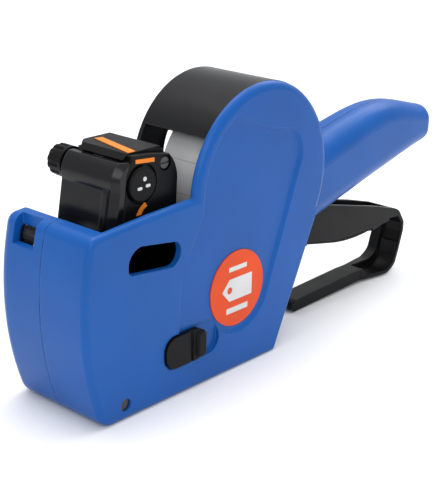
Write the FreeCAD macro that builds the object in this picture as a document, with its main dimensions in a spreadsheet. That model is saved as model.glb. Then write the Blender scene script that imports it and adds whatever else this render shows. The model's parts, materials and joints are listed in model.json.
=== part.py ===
"""Hand-held price labeling gun.

Frame: nose towards -Y, handle towards +Y, +Z up, X = 0 is the seam between the two body shells.
The origin is on the flat base, 55 mm behind the foremost point of the nose. Lengths in mm.
"""
import FreeCAD, Part
import math
import os
import re

import Sketcher
from FreeCAD import Placement, Rotation, Vector

# Driving dimensions. Names ending in _y and _z are places seen from the side.
SIZES = {
    # body shells
    "half_width": 22.5, "wall": 2.6, "edge_round": 3.4, "half_seam": 0.15,
    "near_base_round": 1.5, "nose_round": 2.2, "far_round": 5.0,
    "base_rear": 46.4, "shoulder_y": 72.0, "shoulder_z": 54.8,
    "wall_top": 73.4, "brow_y": -50.8, "brow_z": 70.6, "top_bend_y": -24.0, "top_bend_z": 72.6,
    "foot_y": -46.33, "nose_radius": 108.8, "brow_radius": 4.5, "foot_radius": 7.0,
    "front_lip_y": -44.0, "base_gap_half": 16.2, "base_gap_front": -41.5, "base_gap_rear": 20.0,
    # roll disc, its cover and the roll
    "disc_y": 37.0, "disc_z": 71.1, "disc_radius": 38.6, "recess_depth": 1.3,
    "cover_y": 38.0, "cover_z": 75.2, "cover_radius": 34.4, "cover_skin": 1.6,
    "cover_left": 19.6, "cover_right": -14.2,
    "cover_rear_angle": 24.0, "cover_front_angle": 149.1, "cheek_front_angle": 179.0,
    "cheek_skin": 1.8, "cheek_hole_y": 39.0, "cheek_hole_z": 78.0, "cheek_hole_radius": 21.0,
    "hinge_y": 67.4, "hinge_z": 87.6, "hinge_radius": 1.5, "knuckle_radius": 2.7,
    "roll_radius": 30.9, "roll_left": 19.0, "roll_right": -3.0, "core_radius": 13.4,
    "core_bore": 12.3, "hub_radius": 12.0, "hub_bore": 9.6, "hub_cap_radius": 15.0,
    # hand lever
    "lever_y": 58.0, "lever_z": 40.0, "lever_half": 7.5, "guard_half": 4.7, "lever_boss": 5.0, "shaft_radius": 2.5,
    "running_gap": 0.05, "drive_y": 20.0, "drive_z": 38.0, "drive_radius": 1.5,
    "tongue_left": -3.8, "grip_slot_half": 8.6,
    # print head
    "head_y": 44.0, "head_z": 46.0, "arm_left": -9.2, "arm_right": -12.0,
    "case_left": 12.3, "case_right": -9.0, "cover_front": -35.4, "case_wall": 1.8, "plate_inner": 12.5, "plate_outer": 15.0,
    "select_y": -23.5, "select_z": 83.4, "bar_y": -19.5, "bar_z": 62.2,
    "wheel_radius": 2.9, "bar_radius": 2.7, "band_skin": 0.9, "band_width": 2.6, "band_pitch": 2.85,
    "knob_radius": 5.9, "knob_inner": -14.2, "knob_outer": -24.5, "cap_y": -20.6, "cap_z": 81.6,
    # nose mechanism
    "ink_y": -43.9, "ink_z": 62.0, "ink_radius": 3.6, "ink_pivot_y": -47.0, "ink_pivot_z": 40.0,
    "platen_front": -33.0, "platen_rear": -5.0, "platen_low": 27.0, "platen_mid": 33.0,
    "platen_top": 36.3, "feed_y": -18.0, "feed_z": 15.0, "feed_radius": 7.6,
    "roller_y": -35.9, "roller_z": 5.9, "roller_radius": 5.4, "axle_radius": 2.2,
    # side openings and latch
    "latch_front": -16.4, "latch_rear": 4.4, "latch_low": 11.9, "latch_high": 24.0,
    "latch_travel": 5.0, "latch_sink": 1.7, "badge_y": 23.3, "badge_z": 33.0, "badge_radius": 15.0,
    # black side frame and shell screws
    "frame_skin": 1.5,
    "screw_radius": 1.3, "screw_head": 2.6, "boss_radius": 3.4,
}

# Handle stations from the body to the tip: place along Y, half width, underside and top.
GRIP_STATIONS = [
    (60.0, 13.2, 34.5, 71.8), (85.0, 12.4, 40.5, 73.8), (105.0, 11.7, 45.3, 77.9),
    (125.0, 11.0, 49.9, 81.9), (143.0, 10.4, 53.9, 82.7), (160.0, 9.9, 57.6, 79.6),
    (173.4, 9.4, 60.4, 76.4),
]
SCREW_PLACES = [(-45.8, 22.0), (40.0, 8.5), (71.0, 57.5), (116.0, 71.5), (150.0, 70.5)]
BAND_COUNT = 6

doc = FreeCAD.newDocument("price_labeling_gun")
sheet = doc.addObject("Spreadsheet::Sheet", "Sizes")
nodes = {}


def fill_sheet():
    """Put every driving dimension in the sheet, one named cell each."""
    named = dict(SIZES)
    for index, (place, half, low, high) in enumerate(GRIP_STATIONS):
        named[f"grip_{index}_place"] = place
        named[f"grip_{index}_half"] = half
        named[f"grip_{index}_low"] = low
        named[f"grip_{index}_high"] = high
    for index, (place, height) in enumerate(SCREW_PLACES):
        named[f"screw_{index}_place"] = place
        named[f"screw_{index}_height"] = height
    for row, (name, number) in enumerate(named.items(), 1):
        sheet.set(f"A{row}", name)
        sheet.set(f"B{row}", str(number))
        sheet.setAlias(f"B{row}", name)
    doc.recompute()


def bound(text):
    """Expression in which every size name is looked up in the sheet."""
    return re.sub(r"\b([a-z]\w*)\b(?!\()", r"Sizes.\1", str(text))


def value(text):
    """Number that an expression of size names stands for."""
    return float(sheet.evalExpression(str(text)))


def bind(item, prop, text):
    item.setExpression(prop, bound(text))


def node(name, item):
    """Register a finished sub-part under the name that its file gets."""
    item.Label = name
    nodes[name] = item
    return item


# ---------------------------------------------------------------- building blocks

def edge_between(start, end, radius):
    """Straight or round edge; a positive radius turns left from start to end."""
    first = Vector(start[0], start[1], 0)
    last = Vector(end[0], end[1], 0)
    if radius == 0:
        return Part.LineSegment(first, last), 1, 2
    chord = last - first
    half = chord.Length / 2
    rise = math.sqrt(max(radius * radius - half * half, 0))
    left = Vector(-chord.y, chord.x, 0).normalize()
    centre = (first + last) * 0.5 + left * math.copysign(rise, radius)
    angles = [math.atan2(point.y - centre.y, point.x - centre.x) for point in (first, last)]
    circle = Part.Circle(centre, Vector(0, 0, 1), abs(radius))
    if radius > 0:
        return Part.ArcOfCircle(circle, angles[0], angles[1]), 1, 2
    return Part.ArcOfCircle(circle, angles[1], angles[0]), 2, 1


def draw_outline(sketch, corners):
    """Closed outline. Each corner is (across, up) or (across, up, radius of the edge that leaves it)."""
    points = [(value(corner[0]), value(corner[1])) for corner in corners]
    count = len(corners)
    ends = []
    for index, corner in enumerate(corners):
        radius = value(corner[2]) if len(corner) > 2 else 0
        edge, start, end = edge_between(points[index], points[(index + 1) % count], radius)
        sketch.addGeometry(edge)
        ends.append((start, end))
    for index in range(count):
        following = (index + 1) % count
        sketch.addConstraint(Sketcher.Constraint("Coincident", index, ends[index][1],
                                                 following, ends[following][0]))
    for index, corner in enumerate(corners):
        for kind, text, number in (("DistanceX", corner[0], points[index][0]),
                                   ("DistanceY", corner[1], points[index][1])):
            place = sketch.addConstraint(Sketcher.Constraint(kind, -1, 1, index, ends[index][0], number))
            bind(sketch, f"Constraints[{place}]", text)
        if len(corner) > 2:
            place = sketch.addConstraint(Sketcher.Constraint("Radius", index, abs(value(corner[2]))))
            bind(sketch, f"Constraints[{place}]", f"abs({corner[2]})")


def prism(name, axis, corners, low, high, taper=0):
    """Body padded from low to high along axis. Outlines are (Y, Z), (X, Z) or (X, Y)."""
    body = doc.addObject("PartDesign::Body", name)
    role = {"x": "YZ_Plane", "y": "XZ_Plane", "z": "XY_Plane"}[axis]
    plane = [item for item in body.Origin.OriginFeatures if item.Role == role][0]
    sketch = body.newObject("Sketcher::SketchObject", name + "_outline")
    sketch.AttachmentSupport = [(plane, "")]
    sketch.MapMode = "FlatFace"
    start = f"-({high})" if axis == "y" else low
    bind(sketch, "AttachmentOffset.Base.z", start)
    draw_outline(sketch, corners)
    pad = body.newObject("PartDesign::Pad", name + "_pad")
    pad.Profile = sketch
    bind(pad, "Length", f"({high}) - ({low})")
    pad.TaperAngle = taper
    return body


def place(item, across, along, up):
    bind(item, "Placement.Base.x", across)
    bind(item, "Placement.Base.y", along)
    bind(item, "Placement.Base.z", up)
    return item


def cylinder(name, radius, low, high, along, up):
    """Round bar along X from low to high, centred at (along, up)."""
    item = doc.addObject("Part::Cylinder", name)
    item.Placement = Placement(Vector(), Rotation(Vector(0, 1, 0), 90))
    bind(item, "Radius", radius)
    bind(item, "Height", f"({high}) - ({low})")
    return place(item, low, along, up)


def box(name, left, right, front, back, low, high):
    item = doc.addObject("Part::Box", name)
    bind(item, "Length", f"({right}) - ({left})")
    bind(item, "Width", f"({back}) - ({front})")
    bind(item, "Height", f"({high}) - ({low})")
    return place(item, left, front, low)


def fuse(name, *pieces):
    item = doc.addObject("Part::MultiFuse", name)
    item.Shapes = list(pieces)
    item.Refine = True
    return item


def cut(name, base, *tools):
    item = doc.addObject("Part::Cut", name)
    item.Base = base
    item.Tool = tools[0] if len(tools) == 1 else fuse(name + "_tools", *tools)
    item.Refine = True
    return item


def common(name, base, tool):
    item = doc.addObject("Part::Common", name)
    item.Base = base
    item.Tool = tool
    return item


def group(name, pieces):
    item = doc.addObject("Part::Compound", name)
    item.Links = list(pieces)
    return item


def mirrored(name, item):
    """The same form on the other side of the seam plane X = 0."""
    twin = doc.addObject("Part::Mirroring", name)
    twin.Source = item
    twin.Normal = Vector(1, 0, 0)
    return twin


def tube(name, outer, inner, low, high, along, up):
    bar = cylinder(name + "_outside", outer, low, high, along, up)
    hole = cylinder(name + "_bore", inner, f"{low} - 1", f"{high} + 1", along, up)
    return cut(name, bar, hole)


def rounded(name, base, radius_for, kind="Part::Fillet"):
    """Fillet or chamfer; radius_for(edge) names the size an edge gets, or is None to leave it."""
    doc.recompute()
    item = doc.addObject(kind, name)
    item.Base = base
    chosen = []
    for index, edge in enumerate(base.Shape.Edges, 1):
        radius = radius_for(edge)
        if radius:
            chosen.append((index, value(radius), value(radius)))
    item.Edges = chosen
    return item


def lies_across(edge, level):
    """True for an edge that stays in the plane X = level."""
    bounds = edge.BoundBox
    return abs(bounds.XMin - level) < 1e-4 and abs(bounds.XMax - level) < 1e-4


def polar(radius, angle, centre="disc"):
    """Place at an angle about the roll disc's centre, 0 towards the handle, 90 up."""
    return (f"{centre}_y + ({radius}) * cos({angle})", f"{centre}_z + ({radius}) * sin({angle})")


# ---------------------------------------------------------------- body shells

def grip_loft(name, inset, first_place, last_place):
    """Handle bar, or its hollow when inset is more than zero."""
    sections = []
    last = len(GRIP_STATIONS) - 1
    for index in range(last + 1):
        half = f"(grip_{index}_half - {inset})"
        low = f"(grip_{index}_low + {inset})"
        high = f"(grip_{index}_high - {inset})"
        round_off = f"(min({half}, ({high} - {low}) / 2) * 0.8)"
        sketch = doc.addObject("Sketcher::SketchObject", f"{name}_{index}")
        station = first_place if index == 0 else last_place if index == last else f"grip_{index}_place"
        sketch.Placement = Placement(Vector(), Rotation(Vector(1, 0, 0), 90))
        bind(sketch, "Placement.Base.y", station)
        draw_outline(sketch, [
            (f"{round_off} - {half}", low), (f"{half} - {round_off}", low, round_off),
            (half, f"{low} + {round_off}"), (half, f"{high} - {round_off}", round_off),
            (f"{half} - {round_off}", high), (f"{round_off} - {half}", high, round_off),
            (f"-{half}", f"{high} - {round_off}"), (f"-{half}", f"{low} + {round_off}", round_off),
        ])
        sections.append(sketch)
    loft = doc.addObject("Part::Loft", name)
    loft.Sections = sections
    loft.Solid = True
    loft.Ruled = False
    return loft


def nose_side_round(edge):
    """Rounding of the nose block's side edges: large on the right, small on the left."""
    if lies_across(edge, -value("half_width")):
        return "far_round"
    if not lies_across(edge, value("half_width")):
        return None
    return "near_base_round" if edge.BoundBox.ZMax < 4 or edge.BoundBox.YMin > 40 else "nose_round"


def outer_casing():
    """Both shells' outside as one form: nose block, roll disc and handle."""
    sharp = prism("nose_block", "x", [
        ("foot_y", "0"), ("base_rear", "0"), ("shoulder_y", "shoulder_z"), ("disc_y", "wall_top"),
        ("-5", "wall_top"), ("top_bend_y", "top_bend_z"), ("brow_y", "brow_z", "nose_radius"),
    ], "-half_width", "half_width")
    nose_back = value("foot_y + 1")

    def front_corner(edge):
        bounds = edge.BoundBox
        if bounds.YMax > nose_back or bounds.XLength < 10:
            return None
        return "brow_radius" if bounds.ZMin > 50 else "foot_radius"

    block = rounded("nose_block_front", sharp, front_corner)
    disc = cylinder("roll_disc", "disc_radius", "-half_width", "half_width", "disc_y", "disc_z")
    width = value("half_width")
    grip = grip_loft("grip", 0, "grip_0_place", "grip_6_place")
    grip_end = value("grip_6_place")
    return fuse(
        "casing",
        rounded("nose_block_soft", block, nose_side_round),
        rounded("roll_disc_soft", disc,
                lambda edge: "edge_round" if abs(edge.BoundBox.XMin) > width - 0.01 else None),
        rounded("grip_soft", grip, lambda edge: "4.6" if edge.BoundBox.YMin > grip_end - 0.01 else None),
    )


def hollow():
    """Everything that is empty inside the shells."""
    inner = "half_width - wall"
    chamber = prism("chamber", "x", [
        ("foot_y + 5.5", "wall"), ("base_rear - 1.7", "wall"), ("shoulder_y - 2.9", "shoulder_z"),
        ("disc_y", "wall_top - wall"), ("-5", "wall_top - wall"), ("top_bend_y", "top_bend_z - wall"),
        ("brow_y + 5", "brow_z - wall"), ("brow_y + 2.0", "brow_z - 5.2", "nose_radius - wall"),
        ("foot_y + 1.8", "6.8"),
    ], f"-({inner})", inner)
    drum = cylinder("drum", "disc_radius - wall", f"-({inner})", inner, "disc_y", "disc_z")
    mouth = box("mouth", f"-({inner})", inner, "front_lip_y", "disc_y + 22", "60", "130")
    cover_gap = box("cover_gap", f"-({inner})", inner, "disc_y + 10", "disc_y + 50", "84", "130")
    base_gap = box("base_gap", "-base_gap_half", "base_gap_half", "base_gap_front", "base_gap_rear",
                   "-1", "wall + 1")
    grip_hollow = grip_loft("grip_hollow", 2.3, "grip_0_place", "grip_6_place - 4")
    lever_slot = prism("lever_slot", "x", [
        ("lever_y - 2", "24.5"), ("141", "24.5"), ("141", "53.6"), ("120", "54.6"), ("106", "60"),
        ("lever_y - 2", "60"),
    ], "-grip_slot_half", "grip_slot_half")
    return fuse("hollow", chamber, drum, mouth, cover_gap, base_gap, grip_hollow, lever_slot)


def bosses():
    """Screw posts and shaft seats that stand on the shells' inner faces."""
    inner = "half_width - wall / 2"
    posts = [cylinder(f"post_{index}", "boss_radius", f"-({inner})", inner,
                      f"screw_{index}_place", f"screw_{index}_height")
             for index in range(len(SCREW_PLACES))]
    seats = [
        cylinder("lever_seat_left", "lever_boss", "lever_half + 7.5", inner, "lever_y", "lever_z"),
        cylinder("lever_seat_right", "lever_boss", f"-({inner})", "-lever_half - 0.5", "lever_y", "lever_z"),
        cylinder("head_seat", "lever_boss", f"-({inner})", "arm_right - 0.4", "head_y", "head_z"),
        cylinder("ink_seat_left", "3", "14.4", inner, "ink_pivot_y", "ink_pivot_z"),
        cylinder("ink_seat_right", "3", f"-({inner})", "-19.2", "ink_pivot_y", "ink_pivot_z"),
        cylinder("feed_seat_left", "3.6", "15", inner, "feed_y", "feed_z"),
        cylinder("feed_seat_right", "3.6", f"-({inner})", "-12", "feed_y", "feed_z"),
    ]
    return fuse("posts_and_seats", *(posts + seats))


def shaft_holes():
    """Bores in both shells for the shafts, pins and screws."""
    inner = "half_width - 1.2"
    holes = [
        cylinder("lever_bore", "shaft_radius + 0.02", f"-({inner})", inner, "lever_y", "lever_z"),
        cylinder("head_bore", "shaft_radius", f"-({inner})", "0", "head_y", "head_z"),
        cylinder("ink_bore", "1.5", f"-({inner})", inner, "ink_pivot_y", "ink_pivot_z"),
        cylinder("feed_bore", "2.05", f"-({inner})", inner, "feed_y", "feed_z"),
        cylinder("hinge_bore", "hinge_radius", f"-({inner})", inner, "hinge_y", "hinge_z"),
        cylinder("axle_bore", "axle_radius + 0.2", "-half_width - 1", "half_width + 1", "roller_y", "roller_z"),
    ]
    for index in range(len(SCREW_PLACES)):
        along, up = f"screw_{index}_place", f"screw_{index}_height"
        holes.append(cylinder(f"screw_bore_{index}", "screw_radius", "-half_width - 1", "7.6", along, up))
        seat = "-half_width + 2.6" if index < 3 else "-7.6"
        holes.append(cylinder(f"screw_sink_{index}", "screw_head + 0.3", "-half_width - 1", seat, along, up))
    return fuse("shaft_holes", *holes)


def upper_slot():
    return prism("upper_slot", "x", [
        ("-32.0", "53.2"), ("-13.2", "51.2", "4.9"), ("-8.6", "56.4", "4.0"), ("-12.2", "60.6"),
        ("-28.0", "62.9", "6.4"), ("-34.3", "56.0", "2.6"),
    ], "10", "half_width + 1")


def soft_bar(name, front, back, low, high, start, end, corner):
    """Rectangle with rounded corners, seen from the side."""
    return prism(name, "x", [
        (f"{front} + {corner}", low), (f"{back} - {corner}", low, corner),
        (back, f"{low} + {corner}"), (back, f"{high} - {corner}", corner),
        (f"{back} - {corner}", high), (f"{front} + {corner}", high, corner),
        (front, f"{high} - {corner}"), (front, f"{low} + {corner}", corner),
    ], start, end)


def face_recess():
    """Sunk panel on the left face, from beside the latch up across the disc; its wall slopes."""
    rim = "(disc_radius - 6.4)"
    bottom = "(badge_radius + 1.6)"
    return prism("face_recess", "x", [
        ("4.2", "66.0"), ("-1.3", "56.0"), ("-6.8", "43.4"), ("-7.7", "23.4"),
        polar(bottom, "226", "badge") + (bottom,), polar(bottom, "-22", "badge"),
        ("56.4", "74.0", "10"), ("48.6", "89.2"), ("38.8", "90.8"),
        polar(rim, "122") + (rim,), polar(rim, "172"),
    ], "half_width - recess_depth", "half_width + 0.3", 50)


def nose_window():
    """Inspection opening in the right half of the nose, running up over the brow."""
    return box("nose_window", "-15.6", "-4.5", "-60", "-47.5", "60.8", "80")


def knob_notch():
    """Room in the right wall for the selector knob when the head comes down."""
    return prism("knob_notch", "x", [
        ("-43.0", "80"), ("-43.0", "57", "9"), ("-35.5", "49.5"), ("-27.0", "49.5"),
        ("-12.0", "64.0"), ("-8.0", "80"),
    ], "-half_width - 1", "-12.9")


def shells():
    casing = outer_casing()
    walls = cut("walls", casing, hollow())
    posts = common("posts", casing, bosses())
    solid = fuse("shell_pair", walls, posts)
    latch_rest = soft_bar("latch_rest", "latch_front - 0.4", "latch_rear + latch_travel + 3.1",
                          "latch_low - 0.5", "latch_high + 0.5", "half_width - latch_sink",
                          "half_width + 1", "5.4")
    latch_gap = soft_bar("latch_gap", "-9.6", "-1 + latch_travel + 0.6", "14.4", "20.1",
                         "half_width - wall - 1", "half_width", "1")
    lips = box("right_of_seam", "-60", "half_seam", "-70", "200", "-5", "130")
    left = cut("left_half", solid, lips, upper_slot(), latch_rest, latch_gap, face_recess(), shaft_holes())
    node("left_shell", left)
    left_of_seam = box("left_of_seam", "-half_seam", "60", "-70", "200", "-5", "130")
    above_right = prism("above_right_wall", "x", [
        ("-60", "wall_top"), ("47", "wall_top"), ("57", "92.5"), ("74", "92.5"), ("74", "130"), ("-60", "130"),
    ], "-60", "0")
    node("right_shell", cut("right_half", solid, left_of_seam, above_right, nose_window(), knob_notch(),
                            doc.getObject("shaft_holes")))


def side_frame():
    """Black plate on the right shell's inner face, with two hollow studs."""
    face = "-half_width + wall + frame_skin"
    plate = box("frame_plate", "-half_width + wall", face, "-38", "34", "24", "49")
    studs, dents = [], []
    for index, (along, up) in enumerate((("12.6", "38.2"), ("22.5", "36.6"))):
        studs.append(cylinder(f"frame_stud_{index}", "2.8", f"{face} - 0.5", f"{face} + 1.6", along, up))
        dents.append(cylinder(f"frame_dent_{index}", "1.3", f"{face} + 0.6", f"{face} + 3", along, up))
    node("side_frame", cut("side_frame", fuse("frame_blank", plate, *studs), *dents))


def shell_screws():
    pieces = []
    for index in range(len(SCREW_PLACES)):
        along, up = f"screw_{index}_place", f"screw_{index}_height"
        seat = "-half_width + 2.6" if index < 3 else "-7.6"
        shank = cylinder(f"shank_{index}", "screw_radius", seat, "7.2", along, up)
        head = cylinder(f"screw_top_{index}", "screw_head", f"{seat} - 1.7", seat, along, up)
        slot = box(f"screw_slot_{index}", f"{seat} - 3", f"{seat} - 1", f"{along} - 2.0", f"{along} + 2.0",
                   f"{up} - 0.35", f"{up} + 0.35")
        cross = box(f"screw_cross_{index}", f"{seat} - 3", f"{seat} - 1", f"{along} - 0.35",
                    f"{along} + 0.35", f"{up} - 2.0", f"{up} + 2.0")
        pieces.append(cut(f"screw_{index}", fuse(f"screw_blank_{index}", shank, head), slot, cross))
    node("shell_screws", group("shell_screws", pieces))


def badge():
    """Round face badge with a plain tag sign on it."""
    floor = "half_width - recess_depth"
    node("badge", cylinder("badge_disc", "badge_radius", floor, f"{floor} + 0.5", "badge_y", "badge_z"))
    top, skin = f"{floor} + 0.5", f"{floor} + 0.65"
    tag = prism("tag_sign", "x", [
        ("badge_y - 8.6", "badge_z"), ("badge_y - 4.6", "badge_z - 4.4"), ("badge_y + 8.2", "badge_z - 4.4"),
        ("badge_y + 8.2", "badge_z + 4.4"), ("badge_y - 4.6", "badge_z + 4.4"),
    ], top, skin)
    eye = cylinder("tag_eye", "1.4", f"{floor}", f"{skin} + 1", "badge_y - 4.4", "badge_z")
    upper = box("upper_bar", top, skin, "badge_y - 5", "badge_y + 5", "badge_z + 7.4", "badge_z + 9.2")
    lower = box("lower_bar", top, skin, "badge_y - 6", "badge_y + 6", "badge_z - 9.4", "badge_z - 7.2")
    node("badge_marks", group("badge_marks", [cut("tag", tag, eye), upper, lower]))


# ---------------------------------------------------------------- label roll and cover

def label_roll():
    node("roll_hub", tube("roll_hub", "hub_radius", "hub_bore", "roll_right - 1.2", "half_width - wall",
                          "disc_y", "disc_z"))
    rim = cylinder("hub_rim", "hub_cap_radius", "roll_right - 2.6", "roll_right - 1.2", "disc_y", "disc_z")
    plug = cylinder("hub_plug", "hub_bore", "roll_right - 1.2", "roll_right + 4", "disc_y", "disc_z")
    hollow_plug = cylinder("hub_plug_bore", "hub_bore - 1.6", "roll_right - 4", "roll_right + 6",
                           "disc_y", "disc_z")
    node("hub_cap", cut("hub_cap", fuse("hub_cap_blank", rim, plug), hollow_plug))
    node("roll_core", tube("roll_core", "core_radius", "core_bore", "roll_right", "roll_left",
                           "disc_y", "disc_z"))
    node("label_roll", tube("label_roll", "roll_radius", "core_radius", "roll_right", "roll_left",
                            "disc_y", "disc_z"))


def roll_cover():
    """Round cover with one pierced cheek, hinged near the handle."""
    inside = "(cover_radius - cover_skin)"
    skin = prism("cover_skin_arc", "x", [
        polar("cover_radius", "cover_rear_angle", "cover") + ("cover_radius",),
        polar("cover_radius", "cover_front_angle", "cover"),
        polar(inside, "cover_front_angle", "cover") + (f"-{inside}",),
        polar(inside, "cover_rear_angle", "cover"),
    ], "cover_right", "cover_left")
    cheek = prism("cover_cheek", "x", [
        polar("cover_radius", "cover_rear_angle", "cover") + ("cover_radius",),
        polar("cover_radius", "cheek_front_angle", "cover"),
        ("disc_y - 30", "62"), ("disc_y - 12", "62"), ("disc_y + 14", "70"), ("hinge_y - 4", "hinge_z - 6"),
    ], "cover_right", "cover_right + cheek_skin")
    opening = cylinder("cheek_hole", "cheek_hole_radius", "cover_right - 2", "cover_right + 5",
                       "cheek_hole_y", "cheek_hole_z")
    knuckles = [
        cylinder("knuckle_right", "knuckle_radius", "cover_right", "cover_right + 7", "hinge_y", "hinge_z"),
        cylinder("knuckle_left", "knuckle_radius", "cover_left - 7", "cover_left", "hinge_y", "hinge_z"),
    ]
    bore = cylinder("cover_bore", "hinge_radius + running_gap", "-30", "30", "hinge_y", "hinge_z")
    pierced = cut("pierced_cheek", cheek, opening)
    blank = fuse("cover_blank", skin, pierced, *knuckles)
    node("roll_cover", cut("roll_cover", blank, bore))
    node("cover_pin", cylinder("cover_pin", "hinge_radius", "-half_width + 1.4", "half_width - 1.4",
                               "hinge_y", "hinge_z"))


# ---------------------------------------------------------------- hand lever

def hand_lever():
    """Squeeze lever: channel-shaped upper bar, open rear member and lower guard bar."""
    loop = prism("lever_loop", "x", [
        ("lever_y - 3", "lever_z - 4"), ("73", "32.4"), ("86", "30.2"), ("106.4", "26.0", "100"),
        ("131.8", "25.1"), ("139.7", "26.6"), ("146.4", "27.1", "-12"), ("154.2", "23.4", "-7"),
        ("154.8", "17.6"), ("152.2", "9.6", "-9"), ("145.0", "5.8"), ("124", "6.7"), ("83", "5.6", "3.6"),
        ("79.4", "2.6", "2.6"), ("82", "0.5"), ("128", "1.6"), ("145.0", "1.0", "10.5"),
        ("153.7", "5.2"), ("155.6", "10.4"), ("158.3", "18.9", "16"), ("158.4", "24.0"),
        ("154.6", "29.3", "10"), ("150.5", "31.9"), ("133.5", "36.7"), ("118", "40.4"),
        ("102.6", "44.2", "60"), ("84", "45.2"), ("70", "45"), ("lever_y - 3", "lever_z + 4"),
    ], "-lever_half", "lever_half")
    boss = cylinder("lever_boss_bar", "lever_boss", "-lever_half", "lever_half", "lever_y", "lever_z")
    tongue = prism("lever_tongue", "x", [
        ("lever_y", "lever_z - 4"), ("lever_y", "lever_z + 4"), ("48", "41"), ("drive_y - 2", "drive_z + 3"),
        ("drive_y - 3.5", "drive_z"), ("drive_y - 2", "drive_z - 3"), ("46", "34.5"),
    ][::-1], "-lever_half", "tongue_left")
    channel = prism("lever_channel", "x", [
        ("68", "37"), ("84", "34.0"), ("106.9", "29.9"), ("136", "28.8"), ("147", "29.4"), ("149", "60"),
        ("68", "60"),
    ], "-5.3", "5.3")
    pocket = prism("rear_pocket", "x", [
        ("131.5", "3.2"), ("145.2", "2.5", "9.5"), ("152.3", "6.2"), ("154.2", "10.9"), ("156.8", "19.2"),
        ("156.9", "23.2"), ("153.4", "27.6"), ("146", "28.3"), ("146", "12"), ("131.5", "9"),
    ], "-2.5", "lever_half + 1")
    sides = [prism(f"guard_side_{side}", "z", [
        (f"{way} * guard_half", "60"), (f"{way} * 12", "60"), (f"{way} * 12", "148"),
        (f"{way} * lever_half", "148"), (f"{way} * guard_half", "129"),
    ][::int(way)], "-2", "15") for side, way in (("left", "1"), ("right", "-1"))]
    rib_root = prism("rear_rib_root", "x", [
        ("153.0", "8.2"), ("154.6", "8.2"), ("157.0", "14.6"), ("153.8", "14.6"),
    ], "-1.2", "6.6")
    under = prism("under_left", "x", [
        ("86.2", "30.16"), ("88", "24"), ("106", "21"), ("131.6", "21"), ("131.8", "25.1"), ("106.4", "26.0"),
    ], "lever_half - 1.5", "lever_half + 0.5", 45)
    bore = cylinder("lever_hole", "shaft_radius + running_gap", "-30", "30", "lever_y", "lever_z")
    blank = fuse("lever_blank", loop, boss, tongue)
    carved = cut("lever_carved", blank, channel, pocket, under, mirrored("under_right", under), *sides)
    whole = cut("lever_whole", fuse("lever_ribbed", carved, rib_root), bore,
                cylinder("drive_seat", "drive_radius", "-20", "20", "drive_y", "drive_z"))
    node("hand_lever", whole)
    node("drive_pin", cylinder("drive_pin", "drive_radius", "arm_right - 0.3", "tongue_left",
                               "drive_y", "drive_z"))
    node("lever_shaft", cylinder("lever_shaft", "shaft_radius", "-half_width + 1.6", "half_width - 1.6",
                                 "lever_y", "lever_z"))


def lever_spring():
    """Torsion spring round the lever shaft: a wire coil with two short legs."""
    wire, coil = 0.45, 3.1
    start, length = value("lever_half") + 1.2, 5.2
    helix = Part.makeHelix(1.05, length, coil)
    ring = Part.Wire([Part.makeCircle(wire, Vector(coil, 0, 0), Vector(0, 1, 0))])
    spring = Part.Wire(helix).makePipeShell([ring], True, True)
    item = doc.addObject("Part::Feature", "lever_spring")
    item.Shape = spring
    item.Placement = Placement(Vector(start, value("lever_y"), value("lever_z")),
                               Rotation(Vector(0, 1, 0), 90))
    node("lever_spring", item)


# ---------------------------------------------------------------- print head

def head_arm():
    """Right side plate of the head, running back to the pivot under the cover's cheek."""
    plate = prism("arm_plate", "x", [
        ("-32.4", "65.0"), ("-9", "57.6"), ("4", "46"), ("13.5", "33.6"), ("24", "33.6"),
        ("head_y", "head_z - 6", "6.0001"), ("head_y", "head_z + 6"), ("18", "54.5"), ("2", "60"), ("-4", "66"),
        ("-4", "85.5", "5"), ("-8", "88.8"), ("-26.5", "88.8", "9"), ("-31.0", "81"),
    ], "arm_right", "arm_left")
    shaft = cylinder("arm_hole", "shaft_radius + running_gap", "-20", "0", "head_y", "head_z")
    slot = soft_bar("arm_slot", "15.6", "22.2", "36.1", "40.1", "-20", "0", "1.95")
    select = cylinder("arm_select_hole", "2.15", "-20", "0", "select_y", "select_z")
    node("head_arm", cut("head_arm", plate, shaft, slot, select))
    node("head_shaft", cylinder("head_shaft", "shaft_radius", "-half_width + 1.6", "-4.4", "head_y", "head_z"))
    node("head_clip", tube("head_clip", "4.4", "shaft_radius", "arm_left + 0.35", "arm_left + 1.35",
                           "head_y", "head_z"))


def head_case():
    outer = prism("case_block", "x", [
        ("-31.6", "64.8"), ("-8.5", "56.9"), ("-4", "60"), ("-4", "85.5", "4"), ("-7.5", "88.8"),
        ("-28.2", "88.8"), ("-31.2", "84"), ("-31.3", "80"), ("-33.3", "67"),
    ], "case_right", "case_left")
    room = prism("case_room", "x", [
        ("-28.8", "50"), ("-6", "50"), ("-6", "87.7"), ("-27.6", "87.7"), ("-28.8", "84.5"),
    ], "case_right + case_wall", "case_left - case_wall")
    select = cylinder("case_select_hole", "2.15", "-20", "0", "select_y", "select_z")
    node("head_case", cut("head_case", outer, room, select))


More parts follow.
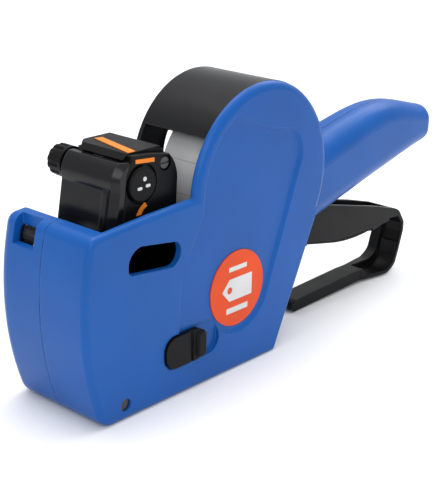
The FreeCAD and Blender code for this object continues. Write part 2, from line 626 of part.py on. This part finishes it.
def head_covers():
    """Front cover with its slanted left corner, left side plate and top plate of the head."""
    front = prism("front_cover_skin", "x", [
        ("cover_front", "66.0"), ("cover_front + 1.7", "66.0"), ("-31.5", "80"), ("-31.4", "84.2"),
        ("-28.3", "89.2"), ("-27.2", "90.2"), ("-29.4", "90.2", "9"), ("-32.9", "80.6"),
    ], "arm_right", "plate_inner")
    corner = prism("front_cover_corner", "x", [
        ("cover_front", "66.0"), ("-30.3", "66.0"), ("-29.4", "72.3"), ("-27.6", "86.2"), ("-25.6", "90.2"),
        ("-29.4", "90.2", "9"), ("-32.9", "80.6"),
    ], "plate_inner", "plate_outer")
    side = value("plate_outer")
    slant = rounded("front_cover_slant", corner, lambda edge: "2.3" if lies_across(edge, side)
                    and edge.BoundBox.YMax < -29 and edge.BoundBox.YMin < -31 else None, "Part::Chamfer")
    ridge = prism("front_ridge", "x", [
        ("-35.9", "67.4"), ("-34.6", "67.4"), ("-32.4", "80.6"), ("-31.7", "84.6"), ("-33.6", "80.2"),
    ], "plate_inner - 3.3", "plate_inner - 0.9")
    node("head_front_cover", fuse("head_front_cover", front, slant, ridge))
    edge = [
        ("-30.3", "63"), ("-3.4", "63"), ("-2.9", "78.3", "13"), ("-7.1", "90.0"), ("-14.7", "91.4"),
        ("-25.2", "92.4"), ("-25.3", "90.2"), ("-27.3", "86.2"), ("-29.1", "72.3"), ("-30.0", "66"),
    ]
    plate = fuse("side_plate_blank",
                 prism("side_plate_core", "x", edge, "plate_inner", "plate_outer - 0.3"),
                 prism("side_plate_bevel", "x", edge, "plate_outer - 0.3", "plate_outer", -45))
    sink = cylinder("cap_sink", "7.4", "plate_outer - 1.2", "plate_outer + 2", "cap_y", "cap_z")
    screw_sink = cylinder("side_screw_sink", "2.9", "plate_outer - 1.4", "plate_outer + 2", "-9.0", "86.9")
    node("head_side_plate", cut("head_side_plate", plate, sink, screw_sink))
    top = prism("top_plate_blank", "x", [
        ("-27.2", "90.8"), ("-11.4", "90.8"), ("-10.6", "89.2"), ("-6.2", "89.0"), ("-9.4", "92.7"),
        ("-25.0", "92.7"),
    ], "-12.6", "plate_inner - 0.1")
    clipped = prism("top_plate_outline", "z", [
        ("-12.6", "-22"), ("-7.5", "-28"), ("13", "-28"), ("13", "-5"), ("-12.6", "-5"),
    ], "80", "100")
    legs = [box(f"top_leg_{index}", left, right, front_edge, back_edge, "88.8", "91")
            for index, (left, right, front_edge, back_edge) in enumerate((
                ("-12", "12.2", "-12", "-7"), ("9.6", "12.2", "-26", "-20"), ("-12", "-9.4", "-25", "-20")))]
    node("head_top_plate", fuse("head_top_plate", common("top_plate_trim", top, clipped), *legs))


def head_marks():
    """Coloured index pieces and the round side cap."""
    node("range_strip", prism("range_strip", "z", [
        ("-9.8", "-19.4"), ("12.3", "-24.3"), ("12.3", "-21.0"), ("-8.9", "-16.4"),
    ], "92.7", "92.95"))
    node("side_tick", prism("side_tick", "x", [
        ("-23.6", "89.4"), ("-14.6", "88.5"), ("-14.6", "90.0"), ("-23.6", "90.8"),
    ], "plate_outer", "plate_outer + 0.2"))
    node("pointer_mark", prism("pointer_mark", "x", [
        ("-23.4", "70.9"), ("-21.0", "70.9"), ("-20.2", "72.4"), ("-18.2", "73.5"), ("-19.4", "75.0"),
        ("-21.9", "73.1"),
    ], "plate_outer", "plate_outer + 0.3"))
    cap = cylinder("cap_blank", "6.4", "plate_outer - 1.2", "plate_outer + 0.9", "cap_y", "cap_z")
    top = value("plate_outer + 0.9")
    node("side_cap", rounded("side_cap", cap, lambda edge: "0.7" if lies_across(edge, top) else None))
    face, skin = "plate_outer + 0.9", "plate_outer + 1.05"
    node("cap_marks", group("cap_marks", [
        cylinder("cap_dot", "0.8", face, skin, "cap_y + 0.6", "cap_z + 2.0"),
        soft_bar("cap_bar_low", "cap_y - 2.9", "cap_y - 0.7", "cap_z - 1.6", "cap_z - 0.5", face, skin, "0.5"),
        soft_bar("cap_bar_high", "cap_y + 1.0", "cap_y + 3.2", "cap_z - 1.2", "cap_z - 0.1", face, skin, "0.5"),
    ]))
    screws = []
    for index, (along, up) in enumerate((("-9.0", "86.9"), ("-26.6", "66.5"), ("-7", "66.5"))):
        low = "plate_outer - 1.4" if index == 0 else "plate_outer"
        head = cylinder(f"head_screw_top_{index}", "2.1", low, f"{low} + 0.9", along, up)
        slit = box(f"head_screw_slit_{index}", f"{low} + 0.4", f"{low} + 2", f"{along} - 2.4", f"{along} + 2.4",
                   f"{up} - 0.3", f"{up} + 0.3")
        screws.append(cut(f"head_screw_{index}", head, slit))
    node("head_screws", group("head_screws", screws))


def capsule(name, upper, lower, start, end):
    """Belt outline round the selector wheel and the lower bar, given the two radii."""
    along = value("bar_y - select_y")
    drop = value("select_z - bar_z")
    lean = math.degrees(math.atan2(along, drop))
    turn = math.degrees(math.asin((value(upper) - value(lower)) / math.hypot(along, drop)))
    right = turn + lean
    left = 180 - turn + lean

    def on_circle(centre, radius, angle):
        return f"{centre}_y + ({radius}) * cos({angle})", f"{centre}_z + ({radius}) * sin({angle})"

    return prism(name, "x", [
        on_circle("select", upper, right) + (upper,), on_circle("select", upper, left),
        on_circle("bar", lower, left) + (lower,), on_circle("bar", lower, 270 + lean) + (lower,),
        on_circle("bar", lower, right),
    ], start, end)


def print_bands():
    """Six blank print bands side by side, their wheels and the bar that backs them."""
    wheels = []
    for index in range(BAND_COUNT):
        low = f"case_right + case_wall + 0.5 + {index} * band_pitch"
        high = f"{low} + band_width"
        belt = capsule(f"belt_{index}", "wheel_radius + band_skin", "bar_radius + band_skin", low, high)
        space = capsule(f"belt_space_{index}", "wheel_radius + 0.02", "bar_radius + 0.02",
                        f"{low} - 1", f"{high} + 1")
        node(f"print_band_{index + 1}", cut(f"print_band_{index + 1}", belt, space))
        wheels.append(tube(f"band_wheel_{index}", "wheel_radius", "2.1", low, high, "select_y", "select_z"))
    node("band_wheels", group("band_wheels", wheels))
    node("band_bar", cylinder("band_bar", "bar_radius", "case_right + case_wall", "case_left - case_wall",
                              "bar_y", "bar_z"))


def selector():
    """Pull-and-turn knob on its shaft, and the pointer carriage that slides with it."""
    node("selector_shaft", cylinder("selector_shaft", "2.0", "knob_outer + 1.5", "9.4", "select_y", "select_z"))
    drum = cylinder("knob_drum", "knob_radius", "knob_outer", "knob_outer + 7.4", "select_y", "select_z")
    collar = cylinder("knob_neck", "4.4", "knob_outer + 7", "knob_inner", "select_y", "select_z")
    outer_face = value("knob_outer")
    soft = rounded("knob_soft", drum, lambda edge: "1.1" if lies_across(edge, outer_face) else None)
    flutes = []
    for index in range(12):
        angle = 30 * index
        flutes.append(cylinder(f"flute_{index}", "1.0", "knob_outer - 1", "knob_outer + 6.2",
                               f"select_y + (knob_radius + 0.25) * cos({angle})",
                               f"select_z + (knob_radius + 0.25) * sin({angle})"))
    dimple = cylinder("knob_dimple", "3.4", "knob_outer - 1", "knob_outer + 0.8", "select_y", "select_z")
    bore = cylinder("knob_bore", "2.0", "knob_outer + 1.5", "knob_inner + 1", "select_y", "select_z")
    blank = fuse("knob_blank", soft, collar)
    node("selector_knob", cut("selector_knob", blank, dimple, bore, *flutes))
    plate = prism("carriage_plate", "x", [
        ("select_y - 3.2", "select_z"), ("select_y", "select_z - 3.2"), ("select_y + 3.6", "select_z"),
        ("-15.2", "88.4"), ("-15.2", "90.4"), ("-18.4", "90.4"),
    ], "-13.8", "-12.6")
    rod = box("carriage_rod", "-13.8", "8.4", "-17.6", "-15.8", "89.2", "90.3")
    hole = cylinder("carriage_hole", "2.1", "-20", "0", "select_y", "select_z")
    node("pointer_carriage", cut("pointer_carriage", fuse("carriage_blank", plate, rod), hole))


# ---------------------------------------------------------------- nose mechanism

def ink_roller():
    core = cylinder("ink_body", "ink_radius", "-16.8", "12", "ink_y", "ink_z")
    flutes = []
    for index in range(14):
        angle = 360 / 14 * index
        flutes.append(cylinder(f"ink_flute_{index}", "0.5", "-20", "-4.2",
                               f"ink_y + (ink_radius + 0.12) * cos({angle})",
                               f"ink_z + (ink_radius + 0.12) * sin({angle})"))
    bore = cylinder("ink_bore_hole", "1.25", "-20", "20", "ink_y", "ink_z")
    node("ink_roller", cut("ink_roller", core, bore, *flutes))
    node("ink_axle", cylinder("ink_axle", "1.2", "-18.8", "14", "ink_y", "ink_z"))
    arms = [prism(f"ink_arm_{side}", "x", [
        ("ink_pivot_y - 2.6", "ink_pivot_z - 1"), ("ink_pivot_y + 2.6", "ink_pivot_z - 1"),
        ("ink_y + 2.2", "ink_z"), ("ink_y + 1.2", "ink_z + 2.2"), ("ink_y - 1.2", "ink_z + 2.2"),
        ("ink_y - 2.2", "ink_z"),
    ], low, high) for side, low, high in (("left", "12.5", "14"), ("right", "-18.8", "-17.3"))]
    hub = cylinder("ink_hub", "2.9", "-18.8", "14", "ink_pivot_y", "ink_pivot_z")
    bore = cylinder("ink_hub_bore", "1.55", "-30", "30", "ink_pivot_y", "ink_pivot_z")
    seat = cylinder("ink_axle_seat", "1.2", "-30", "30", "ink_y", "ink_z")
    node("ink_arm", cut("ink_arm", fuse("ink_arm_blank", hub, *arms), bore, seat))
    node("ink_pivot", cylinder("ink_pivot", "1.5", "-half_width + 1.6", "half_width - 1.6",
                               "ink_pivot_y", "ink_pivot_z"))


def platen():
    node("platen_block", box("platen_block", "-half_width + wall + frame_skin", "half_width - wall",
                             "platen_front", "platen_rear", "platen_low", "platen_mid"))
    node("platen_pad", box("platen_pad", "-11", "12", "platen_front + 1", "platen_rear - 1",
                           "platen_mid", "platen_top"))
    node("peel_plate", prism("peel_plate", "x", [
        ("platen_front", "platen_low"), ("platen_front", "platen_mid"), ("-34.2", "platen_mid"),
        ("-43.4", "17.5"), ("-43.4", "12.2"), ("-42.4", "12.2"), ("-42.4", "17.2"), ("-34.6", "platen_low"),
    ][::-1], "-12", "12"))
    node("label_guide", prism("label_guide", "x", [
        ("platen_rear", "32"), ("4", "31.0"), ("14", "27.4"), ("14.5", "28.6"), ("4.4", "32.3"),
        ("platen_rear", "33.3"),
    ], "roll_right", "roll_left"))


def toothed(name, radius, tooth, count, low, high, bore):
    """Wheel with evenly spaced round teeth on its rim."""
    rim = cylinder(name + "_rim", radius, low, high, "feed_y", "feed_z")
    teeth = []
    for index in range(count):
        angle = 360 / count * index + 8
        teeth.append(cylinder(f"{name}_tooth_{index}", tooth, low, high,
                              f"feed_y + ({radius}) * cos({angle})", f"feed_z + ({radius}) * sin({angle})"))
    hole = cylinder(name + "_hole", bore, f"{low} - 1", f"{high} + 1", "feed_y", "feed_z")
    return cut(name, fuse(name + "_blank", rim, *teeth), hole)


def feed():
    node("feed_wheel", toothed("feed_wheel", "feed_radius", "0.9", 12, "-7", "9", "2.0 + running_gap"))
    node("ratchet_wheel", toothed("ratchet_wheel", "5.2", "0.8", 12, "9.4", "11.6", "2.0 + running_gap"))
    node("feed_shaft", cylinder("feed_shaft", "2.0", "-half_width + 1.6", "half_width - 1.6",
                                "feed_y", "feed_z"))
    pawl = prism("pawl_blank", "x", [
        ("-11.4", "17.2"), ("-4", "18.6"), ("-0.2", "21"), ("-0.2", "25"), ("-4", "24.4"), ("-11.4", "18.8"),
    ], "9.6", "11.4")
    hole = cylinder("pawl_hole", "1.25", "0", "20", "-2.4", "22.6")
    node("feed_pawl", cut("feed_pawl", pawl, hole))
    node("pawl_pin", cylinder("pawl_pin", "1.2", "9", "half_width - wall", "-2.4", "22.6"))


def applicator():
    node("applicator_roller", tube("applicator_roller", "roller_radius", "axle_radius + running_gap",
                                   "-12", "12", "roller_y", "roller_z"))
    node("applicator_axle", cylinder("applicator_axle", "axle_radius", "-half_width + 0.8",
                                     "half_width - 0.8", "roller_y", "roller_z"))


def bottom_cover():
    """Drop-down floor of the label path, turning on the applicator axle."""
    floor = box("cover_floor", "-15.7", "15.7", "-29.6", "18.6", "0", "2.7")
    ears = [box(f"ear_{side}", low, high, "roller_y", "-27", "0.9", "7.6")
            for side, low, high in (("left", "12.9", "15.4"), ("right", "-15.4", "-12.9"))]
    eyes = [cylinder(f"eye_{side}", "4.4", low, high, "roller_y", "roller_z")
            for side, low, high in (("left", "12.9", "15.4"), ("right", "-15.4", "-12.9"))]
    catch = box("catch_post", "13.2", "15.4", "-9.8", "-4.8", "2.5", "21")
    ribs = [box(f"floor_rib_{index}", left, f"{left} + 1.2", "-24", "14", "2.5", "4.2")
            for index, left in enumerate(("-9.6", "-0.6", "8.4"))]
    bore = cylinder("eye_bore", "axle_radius + running_gap", "-30", "30", "roller_y", "roller_z")
    trim = box("ear_trim", "-20", "20", "-45", "-28", "-3", "0.9")
    blank = fuse("cover_floor_blank", floor, catch, *(ears + eyes + ribs))
    node("bottom_cover", cut("bottom_cover", blank, bore, trim))


def latch():
    """Thumb slider that frees the bottom cover, with the leaf that presses it home."""
    pad = soft_bar("latch_pad", "latch_front", "latch_rear", "latch_low", "latch_high",
                   "half_width - latch_sink + 0.3", "half_width + 1.0", "5.0")
    groove = box("latch_groove", "half_width + 0.3", "half_width + 3", "latch_rear - 8.4", "latch_rear - 6.8",
                 "latch_low - 1", "latch_high + 1")
    crest = soft_bar("latch_crest", "latch_rear - 5.6", "latch_rear - 0.5", "latch_low + 0.6",
                     "latch_high - 0.6", "half_width + 0.5", "half_width + 2.2", "2.4")
    top = value("half_width + 2.2")
    ridge = rounded("latch_ridge", crest, lambda edge: "1.1" if lies_across(edge, top) else None)
    stem = box("latch_stem", "16", "half_width", "-9", "-1", "15", "19.5")
    node("latch_slider", cut("latch_slider", fuse("latch_blank", pad, ridge, stem), groove))
    node("latch_leaf", prism("latch_leaf", "z", [
        ("17.2", "-1"), ("18.2", "-1"), ("18.2", "4"), ("19.1", "8.6"), ("18.6", "8.9"), ("17.2", "4"),
    ], "16", "18.6"))


fill_sheet()
shells()
side_frame()
shell_screws()
badge()
label_roll()
roll_cover()
hand_lever()
lever_spring()
head_arm()
head_case()
head_covers()
head_marks()
print_bands()
selector()
ink_roller()
platen()
feed()
applicator()
bottom_cover()
latch()
doc.recompute()

for item in doc.Objects:
    if "Invalid" in item.State or "Error" in item.State:
        raise RuntimeError(f"{item.Name} failed: {item.State}")
for name, item in nodes.items():
    if item.Shape.isNull() or not item.Shape.isValid():
        raise RuntimeError(f"{name} has no valid shape")

os.makedirs("parts", exist_ok=True)
for name, item in nodes.items():
    item.Shape.exportStep(f"parts/{name}.step")
    print(f"{name}: {len(item.Shape.Solids)} solids, {item.Shape.Volume:.0f} mm3")
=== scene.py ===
"""Looks of the price labeling gun: materials, soft studio light and the camera."""
import json
import math

import bpy
from mathutils import Matrix, Vector


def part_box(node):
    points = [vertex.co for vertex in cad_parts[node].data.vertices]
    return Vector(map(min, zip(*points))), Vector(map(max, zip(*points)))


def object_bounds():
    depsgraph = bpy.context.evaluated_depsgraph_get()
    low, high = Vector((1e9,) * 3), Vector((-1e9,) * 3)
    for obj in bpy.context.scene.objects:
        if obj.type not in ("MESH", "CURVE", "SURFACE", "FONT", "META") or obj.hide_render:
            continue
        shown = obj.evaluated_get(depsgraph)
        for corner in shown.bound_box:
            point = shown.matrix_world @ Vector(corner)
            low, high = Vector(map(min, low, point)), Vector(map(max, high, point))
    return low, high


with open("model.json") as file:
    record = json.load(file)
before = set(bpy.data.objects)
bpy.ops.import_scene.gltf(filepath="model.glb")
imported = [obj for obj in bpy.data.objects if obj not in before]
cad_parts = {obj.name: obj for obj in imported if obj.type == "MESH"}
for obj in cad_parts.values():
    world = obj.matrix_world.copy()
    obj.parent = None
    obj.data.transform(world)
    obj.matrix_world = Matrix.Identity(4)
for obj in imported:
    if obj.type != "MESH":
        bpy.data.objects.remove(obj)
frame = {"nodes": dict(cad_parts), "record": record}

MM = 0.001
cad_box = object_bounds()


# ---------------------------------------------------------------- node helpers

class Finish:
    """One procedural material, built node by node around a Principled shader."""

    def __init__(self, name):
        self.material = bpy.data.materials.new(name)
        self.material.use_nodes = True
        self.tree = self.material.node_tree
        self.shader = self.tree.nodes["Principled BSDF"]
        self.place = self.add("ShaderNodeTexCoord").outputs["Object"]
        self.normal = None

    def add(self, kind, **settings):
        made = self.tree.nodes.new(kind)
        for name, setting in settings.items():
            setattr(made, name, setting)
        return made

    def link(self, source, target):
        self.tree.links.new(source, target)

    def put(self, target, source):
        """Set an input to a number or colour, or link it to an output."""
        if isinstance(source, bpy.types.NodeSocket):
            self.link(source, target)
        else:
            target.default_value = source

    def constant(self, **inputs):
        """Numbers and colours that are the same all over the surface."""
        for name, setting in inputs.items():
            self.shader.inputs[name.replace("_", " ")].default_value = setting

    def stretched(self, scale):
        """The object's own coordinates, scaled by a different amount along each axis."""
        mapping = self.add("ShaderNodeMapping")
        self.link(self.place, mapping.inputs["Vector"])
        mapping.inputs["Scale"].default_value = scale
        return mapping.outputs["Vector"]

    def noise(self, feature, detail=2.0, roughness=0.5, where=None):
        """Noise whose blotches are about feature millimetres across."""
        made = self.add("ShaderNodeTexNoise")
        self.link(where or self.place, made.inputs["Vector"])
        made.inputs["Scale"].default_value = 1 / (feature * MM) if where is None else 1.0
        made.inputs["Detail"].default_value = detail
        made.inputs["Roughness"].default_value = roughness
        return made.outputs["Fac"]

    def math(self, operation, first, second=0.0):
        made = self.add("ShaderNodeMath", operation=operation)
        self.put(made.inputs[0], first)
        self.put(made.inputs[1], second)
        return made.outputs[0]

    def between(self, source, low, high, out_low, out_high):
        """Map low..high of the source to out_low..out_high, held at the ends."""
        made = self.add("ShaderNodeMapRange")
        self.link(source, made.inputs["Value"])
        ends = {"From Min": low, "From Max": high, "To Min": out_low, "To Max": out_high}
        for name, number in ends.items():
            made.inputs[name].default_value = number
        return made.outputs["Result"]

    def mix(self, amount, first, second):
        """Colour mix: first where amount is 0, second where it is 1."""
        made = self.add("ShaderNodeMix", data_type="RGBA")
        self.put(made.inputs[0], amount)
        self.put(made.inputs[6], first)
        self.put(made.inputs[7], second)
        return made.outputs[2]

    def bump(self, height, depth, strength=1.0):
        """Relief of depth millimetres on top of what the normal already has."""
        made = self.add("ShaderNodeBump")
        made.inputs["Strength"].default_value = strength
        made.inputs["Distance"].default_value = depth * MM
        self.link(height, made.inputs["Height"])
        if self.normal is not None:
            self.link(self.normal, made.inputs["Normal"])
        self.normal = made.outputs["Normal"]

    def soft_edges(self, radius):
        """Small moulded radius on every edge. Returns a mask that is 1 on the rounded edges."""
        bevel = self.add("ShaderNodeBevel", samples=6)
        bevel.inputs["Radius"].default_value = radius * MM
        flat = self.add("ShaderNodeNewGeometry").outputs["Normal"]
        dot = self.add("ShaderNodeVectorMath", operation="DOT_PRODUCT")
        self.link(bevel.outputs["Normal"], dot.inputs[0])
        self.link(flat, dot.inputs[1])
        self.normal = bevel.outputs["Normal"]
        return self.between(dot.outputs["Value"], 0.995, 0.88, 0.0, 1.0)

    def radius_from(self, along, up):
        """Distance from the line along X through (along, up), in millimetres, and the angle about it."""
        parts = self.add("ShaderNodeSeparateXYZ")
        self.link(self.place, parts.inputs[0])
        across = self.math("SUBTRACT", parts.outputs["Y"], along * MM)
        height = self.math("SUBTRACT", parts.outputs["Z"], up * MM)
        across_square = self.math("MULTIPLY", across, across)
        square = self.math("ADD", across_square, self.math("MULTIPLY", height, height))
        distance = self.math("MULTIPLY", self.math("SQRT", square), 1 / MM)
        return distance, self.math("ARCTAN2", height, across)

    def done(self):
        if self.normal is not None:
            self.link(self.normal, self.shader.inputs["Normal"])
        return self.material


# ---------------------------------------------------------------- materials

def moulded(name, colour, worn_and_highlight, roughness, grain=0.22, depth=0.012, mottle=0.06, edge=0.35, coat=0.0,
            specular=0.5, sinks=True):
    """Injection-moulded plastic: fine tool grain, faint flow mottling, slightly polished edges painted
    lighter, partly as wear and partly as a painted highlight.
    """
    made = Finish(name)
    mask = made.soft_edges(edge)
    broad = made.noise(38, 3)
    darker = [c * (1 - mottle) for c in colour[:3]] + [1]
    lighter = [min(c * (1 + mottle), 1) for c in colour[:3]] + [1]
    body = made.mix(made.between(broad, 0.35, 0.65, 0, 1), darker, lighter)
    patchy = made.noise(4.5, 4, 0.6)
    # Lighter rubbed edges: partly wear, partly a painted highlight along every rounded edge.
    rub_and_highlight = made.math("MULTIPLY", mask, made.between(patchy, 0.42, 0.62, 0.15, 1.0))
    made.link(made.mix(rub_and_highlight, body, worn_and_highlight), made.shader.inputs["Base Color"])
    scuffs = made.noise(11, 5, 0.65)
    dull = made.between(scuffs, 0.3, 0.7, roughness - 0.05, roughness + 0.06)
    smooth = made.math("MULTIPLY", rub_and_highlight, -0.10)
    made.link(made.math("ADD", dull, smooth), made.shader.inputs["Roughness"])
    made.constant(IOR=1.5, Specular_IOR_Level=specular, Coat_Weight=coat, Coat_Roughness=0.12)
    if sinks:
        made.bump(made.noise(24, 1), 0.05, 0.5)
    made.bump(made.noise(grain, 2, 0.6), depth)
    return made.done()


def brushed(name, colour):
    """Ground steel bar and wire: streaks round the bar, small bright edges."""
    made = Finish(name)
    made.soft_edges(0.15)
    streaks = made.noise(1, 4, 0.7, where=made.stretched((9000, 260, 260)))
    tone = made.between(streaks, 0.3, 0.7, 0.0, 1.0)
    dark = [c * 0.82 for c in colour[:3]] + [1]
    made.link(made.mix(tone, dark, colour), made.shader.inputs["Base Color"])
    stains = made.noise(6, 3)
    made.link(made.between(stains, 0.3, 0.7, 0.24, 0.38), made.shader.inputs["Roughness"])
    made.constant(Metallic=1.0)
    made.bump(streaks, 0.006)
    return made.done()


def wound_paper(name):
    """Label roll: concentric layers on its ends and die-cut gaps round its outside."""
    made = Finish(name)
    low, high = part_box("label_roll")
    along = (low.y + high.y) / 2 / MM
    up = (low.z + high.z) / 2 / MM
    outer = (high.y - low.y) / 2 / MM
    distance, angle = made.radius_from(along, up)
    layer_pitch, labels_round, gap_share, rim_skin = 0.55, 16, 0.035, 0.35
    waver = made.math("MULTIPLY", made.noise(9, 3), 0.5)
    wavy = made.math("ADD", distance, waver)
    layers = made.math("SINE", made.math("MULTIPLY", wavy, 2 * math.pi / layer_pitch))
    turn = made.math("FRACT", made.math("MULTIPLY", angle, labels_round / (2 * math.pi)))
    gap = made.math("LESS_THAN", turn, gap_share)
    rim = made.math("GREATER_THAN", distance, outer - rim_skin)
    on_rim = made.math("MULTIPLY", gap, rim)
    paper = made.mix(made.between(layers, -1, 1, 0, 1), (0.42, 0.42, 0.425, 1), (0.52, 0.52, 0.525, 1))
    fibres = made.noise(0.5, 3, 0.7)
    paper = made.mix(made.between(fibres, 0.3, 0.7, 0, 0.35), paper, (0.46, 0.455, 0.45, 1))
    made.link(made.mix(on_rim, paper, (0.33, 0.325, 0.31, 1)), made.shader.inputs["Base Color"])
    made.link(made.between(fibres, 0.3, 0.7, 0.62, 0.82), made.shader.inputs["Roughness"])
    made.bump(layers, 0.03, 0.6)
    made.bump(fibres, 0.015)
    return made.done()


def board(name):
    """Brown core board with fibres along its axis."""
    made = Finish(name)
    made.soft_edges(0.3)
    fibres = made.noise(1, 4, 0.7, where=made.stretched((500, 1800, 1800)))
    brown = made.mix(fibres, (0.30, 0.20, 0.12, 1), (0.52, 0.39, 0.26, 1))
    made.link(brown, made.shader.inputs["Base Color"])
    made.link(made.between(fibres, 0.3, 0.7, 0.75, 0.92), made.shader.inputs["Roughness"])
    made.bump(fibres, 0.04)
    return made.done()


def printed(name, colour, roughness):
    """Ink or film on plastic: dense colour with faint screen speckle."""
    made = Finish(name)
    made.soft_edges(0.12)
    speckle = made.noise(0.35, 2, 0.6)
    broad = made.noise(14, 2)
    darker = [c * 0.90 for c in colour[:3]] + [1]
    tone = made.math("ADD", made.math("MULTIPLY", speckle, 0.4), made.math("MULTIPLY", broad, 0.6))
    made.link(made.mix(made.between(tone, 0.38, 0.6, 0, 1), darker, colour), made.shader.inputs["Base Color"])
    dull = made.between(broad, 0.3, 0.7, roughness - 0.05, roughness + 0.06)
    made.link(dull, made.shader.inputs["Roughness"])
    made.constant(Specular_IOR_Level=0.18)
    made.bump(speckle, 0.008)
    return made.done()


def rubber(name, colour, depth=0.03):
    """Dull rubber or foam: open grain, a little dust and a faint sheen."""
    made = Finish(name)
    made.soft_edges(0.25)
    grain = made.noise(0.6, 4, 0.7)
    dusty = made.noise(8, 3)
    pale = [c + 0.03 for c in colour[:3]] + [1]
    made.link(made.mix(made.between(dusty, 0.4, 0.7, 0, 1), colour, pale), made.shader.inputs["Base Color"])
    made.link(made.between(grain, 0.3, 0.7, 0.6, 0.85), made.shader.inputs["Roughness"])
    made.constant(Sheen_Weight=0.08)
    made.bump(grain, depth)
    return made.done()


def nylon(name):
    """Natural off-white nylon with slight clouding."""
    made = Finish(name)
    made.soft_edges(0.2)
    cloud = made.noise(6, 3)
    made.link(made.mix(cloud, (0.70, 0.69, 0.63, 1), (0.84, 0.83, 0.78, 1)), made.shader.inputs["Base Color"])
    made.link(made.between(cloud, 0.3, 0.7, 0.38, 0.5), made.shader.inputs["Roughness"])
    made.bump(made.noise(0.3, 2), 0.01)
    return made.done()


def finishes():
    """One material for each slot of the record."""
    # The second colour of each moulded finish is its lighter edge colour: partly wear, partly a painted
    # highlight.
    return {
        "blue_shell": moulded("blue_shell", (0.004, 0.081, 0.335, 1), (0.04, 0.16, 0.46, 1), 0.33, edge=0.6,
                              specular=0.22),
        "black_plastic": moulded("black_plastic", (0.004, 0.004, 0.0045, 1), (0.03, 0.03, 0.032, 1), 0.38,
                                 grain=0.3, depth=0.02, specular=0.12),
        "gloss_black": moulded("gloss_black", (0.005, 0.005, 0.006, 1), (0.04, 0.04, 0.043, 1), 0.20,
                               grain=0.3, depth=0.006, specular=0.28),
        "black_steel": moulded("black_steel", (0.012, 0.012, 0.013, 1), (0.07, 0.07, 0.072, 1), 0.30,
                               grain=0.4, depth=0.008, edge=0.2, coat=0.3, sinks=False),
        "steel": brushed("steel", (0.56, 0.56, 0.58, 1)),
        "label_paper": wound_paper("label_paper"),
        "core_card": board("core_card"),
        "orange_badge": printed("orange_badge", (0.74, 0.072, 0.010, 1), 0.34),
        "white_print": printed("white_print", (0.70, 0.70, 0.69, 1), 0.42),
        "orange_index": printed("orange_index", (0.80, 0.22, 0.020, 1), 0.38),
        "band_rubber": rubber("band_rubber", (0.022, 0.021, 0.021, 1)),
        "white_nylon": nylon("white_nylon"),
        "ink_foam": rubber("ink_foam", (0.012, 0.012, 0.014, 1), 0.08),
    }


def dress_nodes():
    """Give each CAD node the material of its slot in the record."""
    slots = {part["node"]: part["material_slot"] for part in frame["record"]["subparts"]}
    made = finishes()
    for name, item in frame["nodes"].items():
        item.data.materials.clear()
        item.data.materials.append(made[slots[name]])


# ---------------------------------------------------------------- floor, light and camera

def lay_floor():
    """Wide pale floor just under the base."""
    mesh = bpy.data.meshes.new("floor")
    half = 8.0
    clearance = 0.1 * MM
    height = cad_box[0][2] - clearance
    corners = [(-half, -half, height), (half, -half, height), (half, half, height), (-half, half, height)]
    mesh.from_pydata(corners, [], [(0, 1, 2, 3)])
    floor = bpy.data.objects.new("floor", mesh)
    bpy.context.scene.collection.objects.link(floor)
    finish = Finish("floor_paint")
    cloud = finish.noise(400, 2)
    finish.link(finish.mix(cloud, (0.86, 0.86, 0.865, 1), (0.89, 0.89, 0.895, 1)),
                finish.shader.inputs["Base Color"])
    finish.constant(Roughness=0.85, Specular_IOR_Level=0.2)
    mesh.materials.append(finish.done())


def add_light(name, place, target, size, power):
    """Rectangular soft box at place, facing target; sizes in metres, power in watts."""
    lamp = bpy.data.lights.new(name, "AREA")
    lamp.shape = "RECTANGLE"
    lamp.size, lamp.size_y = size
    lamp.energy = power
    item = bpy.data.objects.new(name, lamp)
    item.location = place
    aim = Vector(target) - Vector(place)
    item.rotation_euler = aim.to_track_quat("-Z", "Y").to_euler()
    bpy.context.scene.collection.objects.link(item)


def light_studio():
    world = bpy.data.worlds.new("studio")
    world.use_nodes = True
    background = world.node_tree.nodes["Background"]
    background.inputs["Color"].default_value = (0.97, 0.98, 1.0, 1)
    background.inputs["Strength"].default_value = 0.68
    bpy.context.scene.world = world
    middle = (0, 0.05, 0.05)
    add_light("ceiling", (0, 1.0, 3.0), (0, 1.0, 0), (6.0, 6.0), 30.0)
    add_light("overhead", (-0.15, 0.1, 1.1), middle, (0.9, 0.9), 9.0)
    add_light("key", (0.9, -0.9, 0.8), middle, (0.8, 0.8), 6.0)
    add_light("rim", (-0.2, 1.0, 0.9), middle, (0.8, 0.6), 4.2)


def place_camera():
    """Three-quarter view from the nose, with a slight roll as a hand-held product shot has."""
    azimuth, elevation, roll = (math.radians(angle) for angle in (41.437, 19.951, 1.218))
    forward = Vector((-math.sin(azimuth) * math.cos(elevation), math.cos(azimuth) * math.cos(elevation),
                      -math.sin(elevation)))
    level = Vector((math.cos(azimuth), math.sin(azimuth), 0))
    upright = level.cross(forward)
    right = math.cos(roll) * level + math.sin(roll) * upright
    above = math.cos(roll) * upright - math.sin(roll) * level
    distance, shift_right, shift_up = 466.3, 6.80, 4.857
    target = Vector((0, 26.0, 37.68))
    place = (target - distance * forward + shift_right * right + shift_up * above) * MM
    lens = bpy.data.cameras.new("camera")
    lens.lens = 87.27
    lens.sensor_width = 36
    lens.clip_start = 0.01
    lens.clip_end = 50
    item = bpy.data.objects.new("camera", lens)
    turn = Matrix((right, above, -forward)).transposed()
    item.matrix_world = Matrix.Translation(place) @ turn.to_4x4()
    bpy.context.scene.collection.objects.link(item)
    bpy.context.scene.camera = item


bpy.context.scene.view_settings.view_transform = "Standard"
dress_nodes()
lay_floor()
light_studio()
place_camera()
